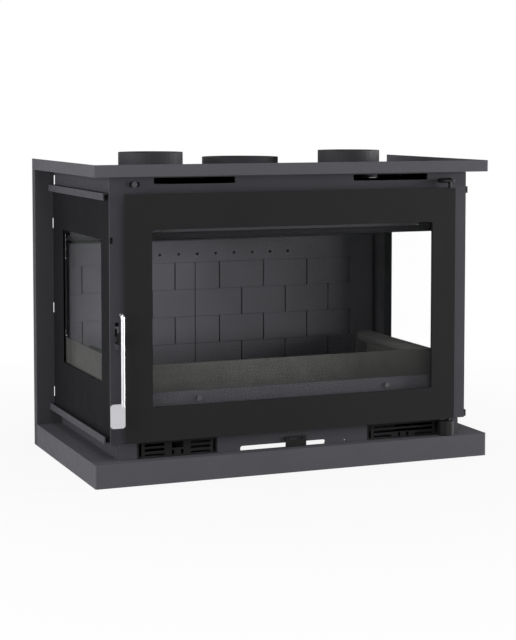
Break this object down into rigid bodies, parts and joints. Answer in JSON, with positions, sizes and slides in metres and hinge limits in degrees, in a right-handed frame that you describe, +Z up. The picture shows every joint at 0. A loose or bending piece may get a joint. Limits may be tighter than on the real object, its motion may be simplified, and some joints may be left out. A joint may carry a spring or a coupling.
{
  "type": "fireplace insert",
  "caption": "Built-in wood fireplace insert with a glazed side-hinged door, two glass sides, brick-pattern lining, folded steel surround and round collars on top.",
  "frame": {"origin": "on the floor plane, under the middle of the overall box", "axes": "+X to the right seen from the front, +Y to the back, +Z up"},
  "size_m": [0.8, 0.4542, 0.599],
  "materials": {
    "surround_paint": "fine matt anthracite heat-proof paint",
    "body_paint": "fine matt dark grey heat-proof paint",
    "inner_paint": "matt dark heat-proof paint, dusty",
    "door_paint": "matt black heat-proof paint",
    "bare_steel": "plain coated sheet steel",
    "dark_steel": "blackened steel",
    "bolt_steel": "dark plated steel",
    "handle_steel": "bright satin stainless steel",
    "guard_iron": "matt dark, slightly olive",
    "lining": "dull grey refractory board with brick joints",
    "rope_seal": "black glass-fibre rope",
    "door_glass": "clear ceramic glass",
    "side_glass": "clear ceramic glass with a wide black printed border"
  },
  "bodies": {
    "casing": {"plinth_frame": "surround_paint", "top_rim": "surround_paint", "upright_left": "surround_paint", "upright_right": "surround_paint", "base_front_panel": "body_paint", "vent_grille_left": "body_paint", "vent_grille_right": "body_paint", "base_tray": "inner_paint", "air_control_box": "bare_steel", "front_frame": "body_paint", "blank_bolt": "bolt_steel", "bottom_plate": "inner_paint", "rear_panel": "inner_paint", "rear_duct": "bare_steel", "firebox_top": "inner_paint", "top_plate": "body_paint", "flue_collar": "body_paint", "air_collar_left": "body_paint", "air_collar_right": "body_paint", "side_upper_panel_left": "body_paint", "side_glass_left": "side_glass", "glass_rail_top_left": "surround_paint", "glass_rail_bottom_left": "surround_paint", "glass_seal_top_left": "rope_seal", "glass_seal_bottom_left": "rope_seal", "rear_post_left": "inner_paint", "side_log_guard_left": "guard_iron", "side_log_rail_left": "guard_iron", "apron_bolt_left": "bolt_steel", "side_upper_panel_right": "body_paint", "side_glass_right": "side_glass", "glass_rail_top_right": "surround_paint", "glass_rail_bottom_right": "surround_paint", "glass_seal_top_right": "rope_seal", "glass_seal_bottom_right": "rope_seal", "rear_post_right": "inner_paint", "side_log_guard_right": "guard_iron", "side_log_rail_right": "guard_iron", "apron_bolt_right": "bolt_steel", "brick_board_left": "lining", "brick_board_right": "lining", "secondary_air_strip": "lining", "hearth_slab": "lining", "hearth_apron": "body_paint", "front_log_guard": "guard_iron", "airwash_deflector": "inner_paint", "baffle_plate": "lining", "baffle_hanger": "inner_paint", "upper_hinge": "dark_steel", "lower_hinge": "body_paint", "latch_keeper": "inner_paint"},
    "door": {"door_frame": "door_paint", "door_glass": "door_glass", "door_glass_retainer": "inner_paint", "door_seal": "rope_seal", "handle_pivot_pin": "dark_steel"},
    "handle": {"handle_lever": "handle_steel", "latch_claw": "dark_steel"},
    "air_control": {"air_slide": "dark_steel"}
  },
  "joints": [
    {"name": "door_hinge", "type": "hinge", "parent": "casing", "child": "door", "pos_m": [0.3224, -0.19937, 0.3], "axis": [0, 0, 1], "range_deg": [0, 100]},
    {"name": "handle_pivot", "type": "hinge", "parent": "door", "child": "handle", "pos_m": [-0.3506, -0.19687, 0.268], "axis": [-1, 0, 0], "range_deg": [0, 25]},
    {"name": "air_slide_travel", "type": "slide", "parent": "casing", "child": "air_control", "axis": [1, 0, 0], "range_m": [-0.09, 0.04]}
  ]
}
